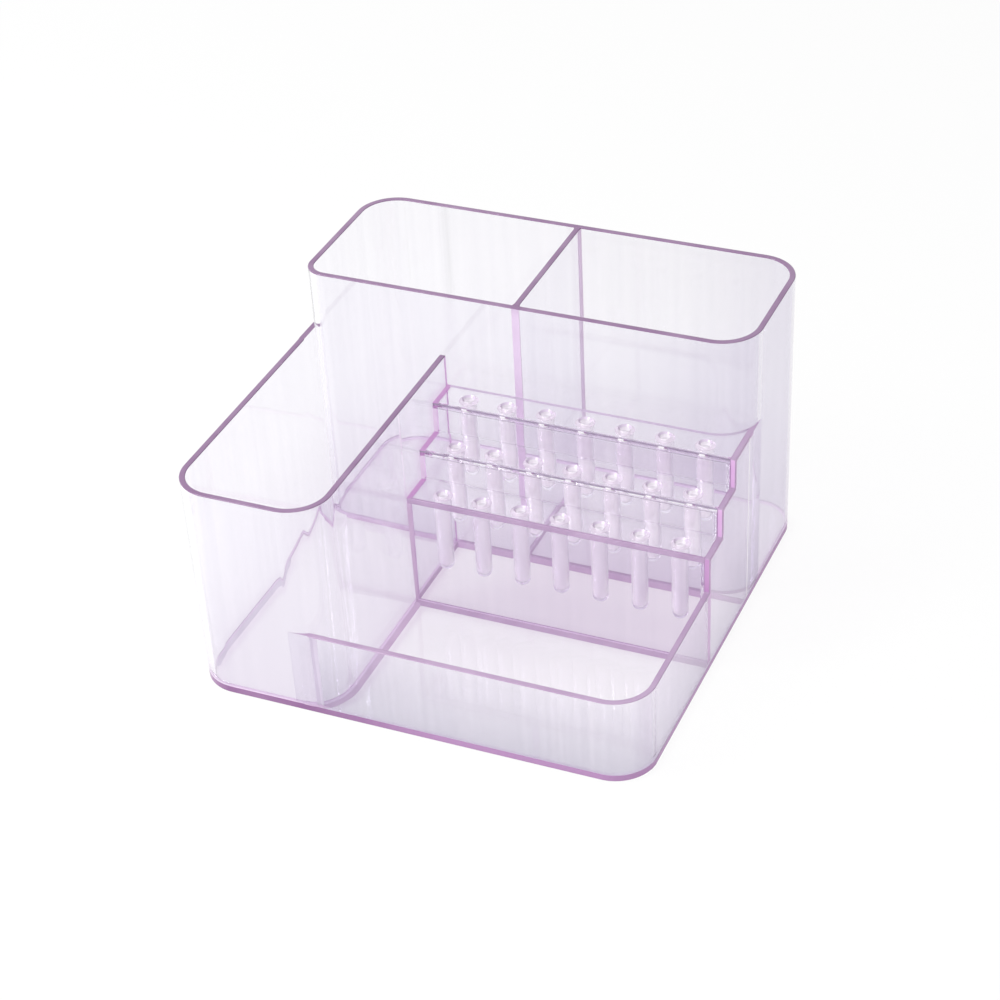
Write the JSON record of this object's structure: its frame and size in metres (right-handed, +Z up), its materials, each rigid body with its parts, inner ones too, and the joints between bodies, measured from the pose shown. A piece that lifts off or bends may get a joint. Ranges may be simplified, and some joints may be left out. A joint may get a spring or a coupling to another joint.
{
  "type": "nail drill holder",
  "caption": "Clear tinted desk organiser: divided tall rear bin, lower side bin, open front tray, and a stepped rack whose blind sleeves hold nail-drill bits upright.",
  "frame": {"origin": "on the surface it stands on, under the middle of the whole outline", "axes": "+X to the right along the front, +Y to the back, where the tall bin is, +Z up"},
  "size_m": [0.16, 0.1612, 0.102],
  "materials": {
    "clear_wall": "polished clear plastic with a faint lilac tint, pinker at every cut edge",
    "clear_sleeve": "polished clear plastic, nearly colourless"
  },
  "bodies": {
    "root": {"base_plate": "clear_wall", "rear_bin_wall": "clear_wall", "rear_bin_divider": "clear_wall", "left_bin_wall": "clear_wall", "tray_wall": "clear_wall", "rack_front_panel": "clear_wall", "riser_2": "clear_wall", "riser_3": "clear_wall", "tread_1": "clear_wall", "tread_2": "clear_wall", "tread_3": "clear_wall", "bit_sleeve_1_1": "clear_sleeve", "bit_sleeve_1_2": "clear_sleeve", "bit_sleeve_1_3": "clear_sleeve", "bit_sleeve_1_4": "clear_sleeve", "bit_sleeve_1_5": "clear_sleeve", "bit_sleeve_1_6": "clear_sleeve", "bit_sleeve_1_7": "clear_sleeve", "bit_sleeve_2_1": "clear_sleeve", "bit_sleeve_2_2": "clear_sleeve", "bit_sleeve_2_3": "clear_sleeve", "bit_sleeve_2_4": "clear_sleeve", "bit_sleeve_2_5": "clear_sleeve", "bit_sleeve_2_6": "clear_sleeve", "bit_sleeve_2_7": "clear_sleeve", "bit_sleeve_3_1": "clear_sleeve", "bit_sleeve_3_2": "clear_sleeve", "bit_sleeve_3_3": "clear_sleeve", "bit_sleeve_3_4": "clear_sleeve", "bit_sleeve_3_5": "clear_sleeve", "bit_sleeve_3_6": "clear_sleeve", "bit_sleeve_3_7": "clear_sleeve"}
  },
  "joints": []
}
